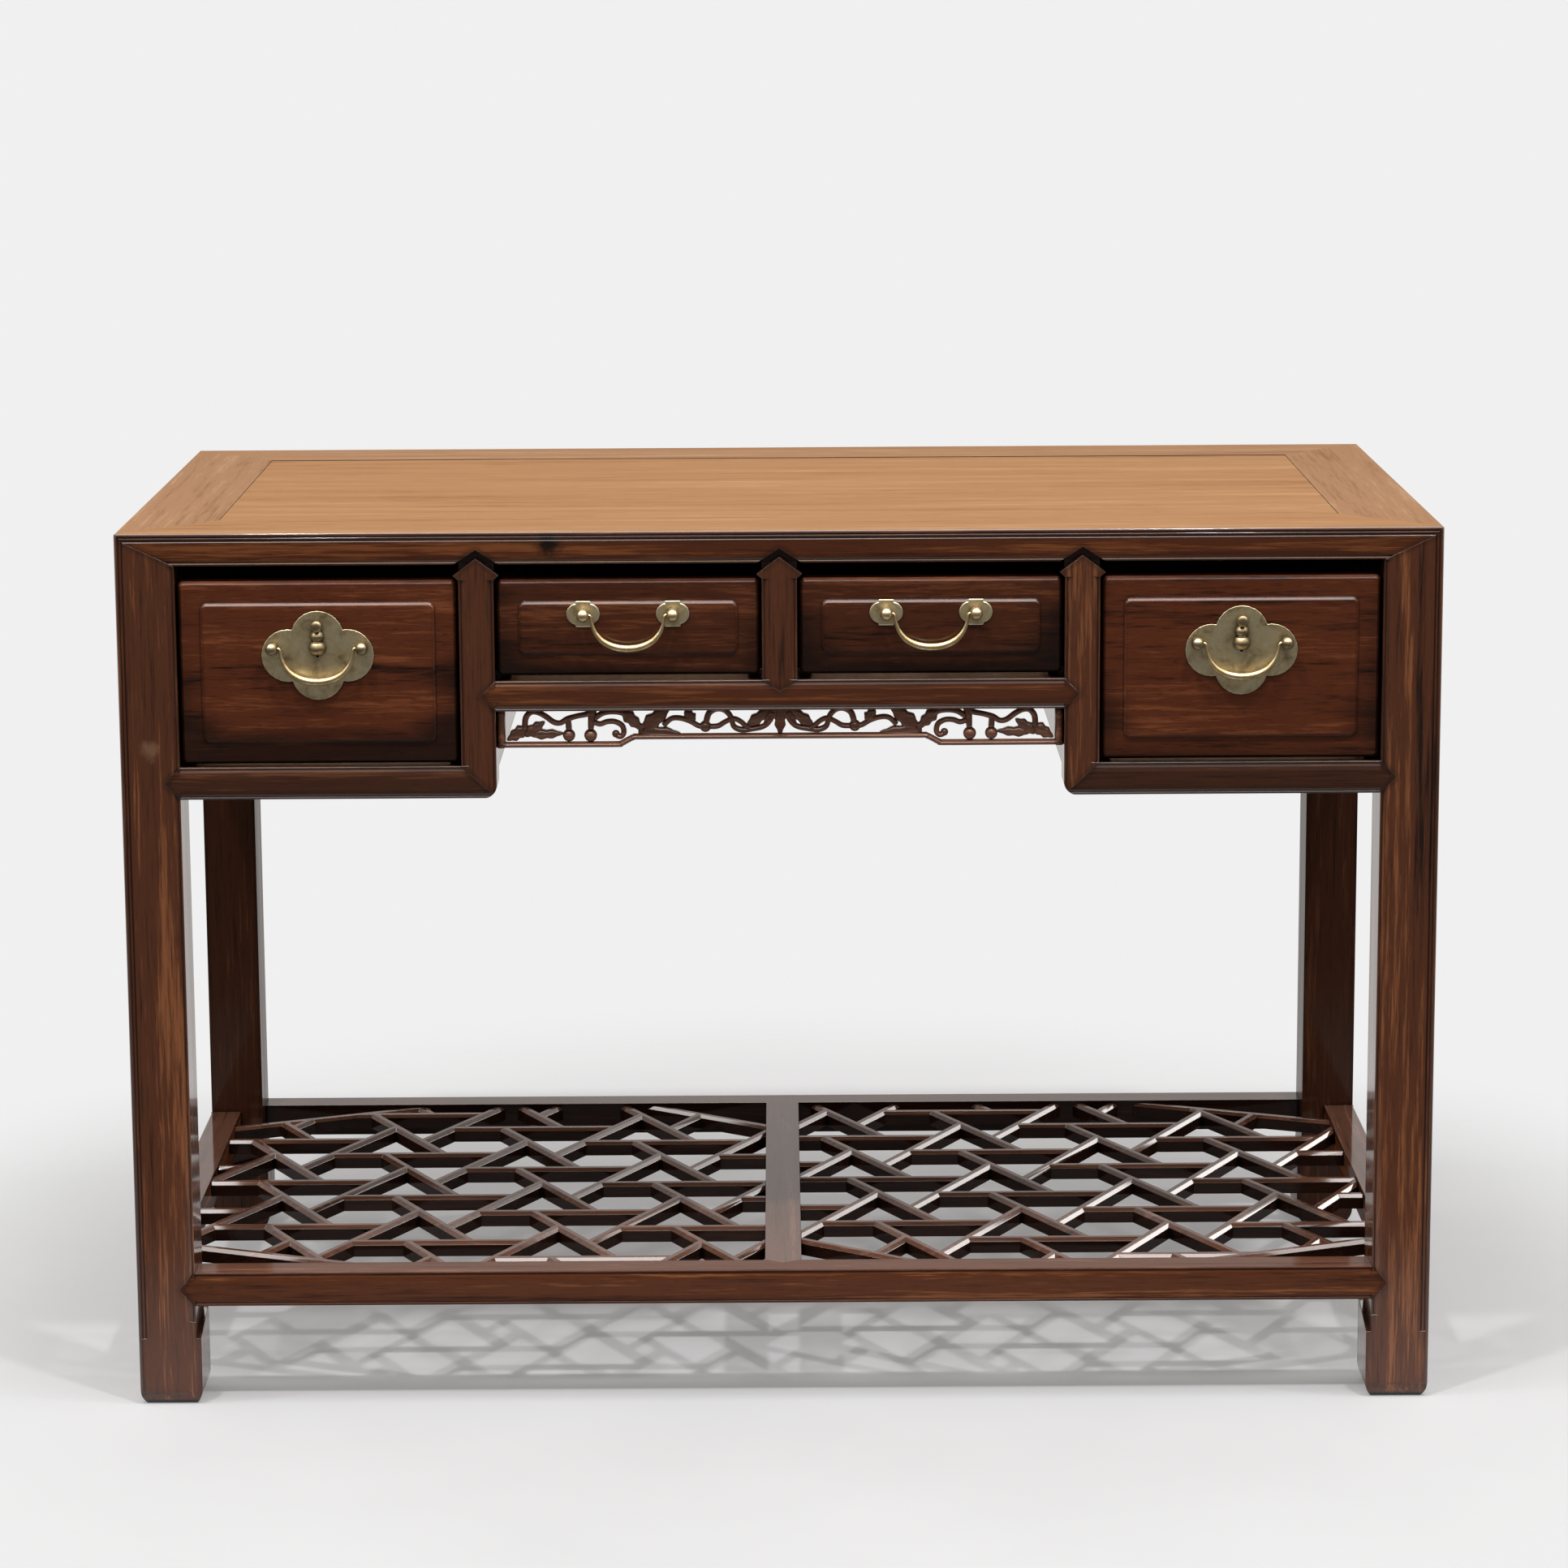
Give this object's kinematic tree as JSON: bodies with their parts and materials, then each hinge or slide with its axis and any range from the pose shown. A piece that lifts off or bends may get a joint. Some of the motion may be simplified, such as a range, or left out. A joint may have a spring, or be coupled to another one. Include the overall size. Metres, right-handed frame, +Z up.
{
  "type": "writing desk",
  "caption": "Wooden pedestal writing desk with drawers on brass bails, a carved openwork apron over the knee space and a lattice foot shelf.",
  "frame": {"origin": "on the floor under the middle of the desk", "axes": "+X to the right of someone at the front, +Y to the back, +Z up; drawers open towards -Y"},
  "size_m": [1.2, 0.615, 0.82],
  "materials": {
    "frame_wood": "polished",
    "drawer_wood": "polished",
    "panel_wood": "satin",
    "inner_wood": "plain",
    "brass": "aged"
  },
  "bodies": {
    "carcass": {"top_front_rail": "frame_wood", "top_back_rail": "frame_wood", "top_left_rail": "frame_wood", "top_right_rail": "frame_wood", "top_panel": "panel_wood", "top_battens": "inner_wood", "front_left_leg": "frame_wood", "front_right_leg": "frame_wood", "back_left_leg": "frame_wood", "back_right_leg": "frame_wood", "left_stile": "frame_wood", "centre_stile": "frame_wood", "right_stile": "frame_wood", "left_lower_rail": "frame_wood", "right_lower_rail": "frame_wood", "centre_lower_rail": "frame_wood", "carved_apron": "frame_wood", "left_side_rail": "frame_wood", "right_side_rail": "frame_wood", "side_panels": "frame_wood", "back_stiles": "frame_wood", "back_lower_rails": "frame_wood", "back_panels": "inner_wood", "left_pedestal_panel": "inner_wood", "right_pedestal_panel": "inner_wood", "pedestal_runners": "inner_wood", "centre_runners": "inner_wood", "shelf_front_rail": "frame_wood", "shelf_back_rail": "frame_wood", "shelf_left_rail": "frame_wood", "shelf_right_rail": "frame_wood", "shelf_middle_rail": "frame_wood", "left_lattice": "frame_wood", "right_lattice": "frame_wood"},
    "left_drawer": {"left_drawer_front": "drawer_wood", "left_drawer_sides": "inner_wood", "left_drawer_bottom": "inner_wood", "left_drawer_lock": "brass", "left_drawer_plate": "brass", "left_drawer_posts": "brass"},
    "left_bail": {"left_drawer_bail": "brass"},
    "left_drop": {"left_drawer_keyhole_cover": "brass"},
    "left_centre_drawer": {"left_centre_drawer_front": "drawer_wood", "left_centre_drawer_sides": "inner_wood", "left_centre_drawer_bottom": "inner_wood", "left_centre_drawer_handle_mounts": "brass"},
    "left_centre_bail": {"left_centre_drawer_bail": "brass"},
    "right_drawer": {"right_drawer_front": "drawer_wood", "right_drawer_sides": "inner_wood", "right_drawer_bottom": "inner_wood", "right_drawer_lock": "brass", "right_drawer_plate": "brass", "right_drawer_posts": "brass"},
    "right_bail": {"right_drawer_bail": "brass"},
    "right_drop": {"right_drawer_keyhole_cover": "brass"},
    "right_centre_drawer": {"right_centre_drawer_front": "drawer_wood", "right_centre_drawer_sides": "inner_wood", "right_centre_drawer_bottom": "inner_wood", "right_centre_drawer_handle_mounts": "brass"},
    "right_centre_bail": {"right_centre_drawer_bail": "brass"}
  },
  "joints": [
    {"name": "left_drawer_slide", "type": "slide", "parent": "carcass", "child": "left_drawer", "axis": [0, -1, 0], "range_m": [0, 0.4]},
    {"name": "left_bail_swing", "type": "hinge", "parent": "left_drawer", "child": "left_bail", "pos_m": [-0.418, -0.3096, 0.7156], "axis": [-1, 0, 0], "range_deg": [-8, 180]},
    {"name": "left_centre_drawer_slide", "type": "slide", "parent": "carcass", "child": "left_centre_drawer", "axis": [0, -1, 0], "range_m": [0, 0.4]},
    {"name": "left_centre_bail_swing", "type": "hinge", "parent": "left_centre_drawer", "child": "left_centre_bail", "pos_m": [-0.137, -0.3096, 0.7445], "axis": [-1, 0, 0], "range_deg": [-8, 180]},
    {"name": "left_drop_swing", "type": "hinge", "parent": "left_drawer", "child": "left_drop", "pos_m": [-0.418, -0.3008, 0.7355], "axis": [0, 1, 0], "range_deg": [-50, 50]},
    {"name": "right_drawer_slide", "type": "slide", "parent": "carcass", "child": "right_drawer", "axis": [0, -1, 0], "range_m": [0, 0.4]},
    {"name": "right_bail_swing", "type": "hinge", "parent": "right_drawer", "child": "right_bail", "pos_m": [0.418, -0.3096, 0.7156], "axis": [-1, 0, 0], "range_deg": [-8, 180]},
    {"name": "right_centre_drawer_slide", "type": "slide", "parent": "carcass", "child": "right_centre_drawer", "axis": [0, -1, 0], "range_m": [0, 0.4]},
    {"name": "right_centre_bail_swing", "type": "hinge", "parent": "right_centre_drawer", "child": "right_centre_bail", "pos_m": [0.137, -0.3096, 0.7445], "axis": [-1, 0, 0], "range_deg": [-8, 180]},
    {"name": "right_drop_swing", "type": "hinge", "parent": "right_drawer", "child": "right_drop", "pos_m": [0.418, -0.3008, 0.7355], "axis": [0, 1, 0], "range_deg": [-50, 50]}
  ]
}
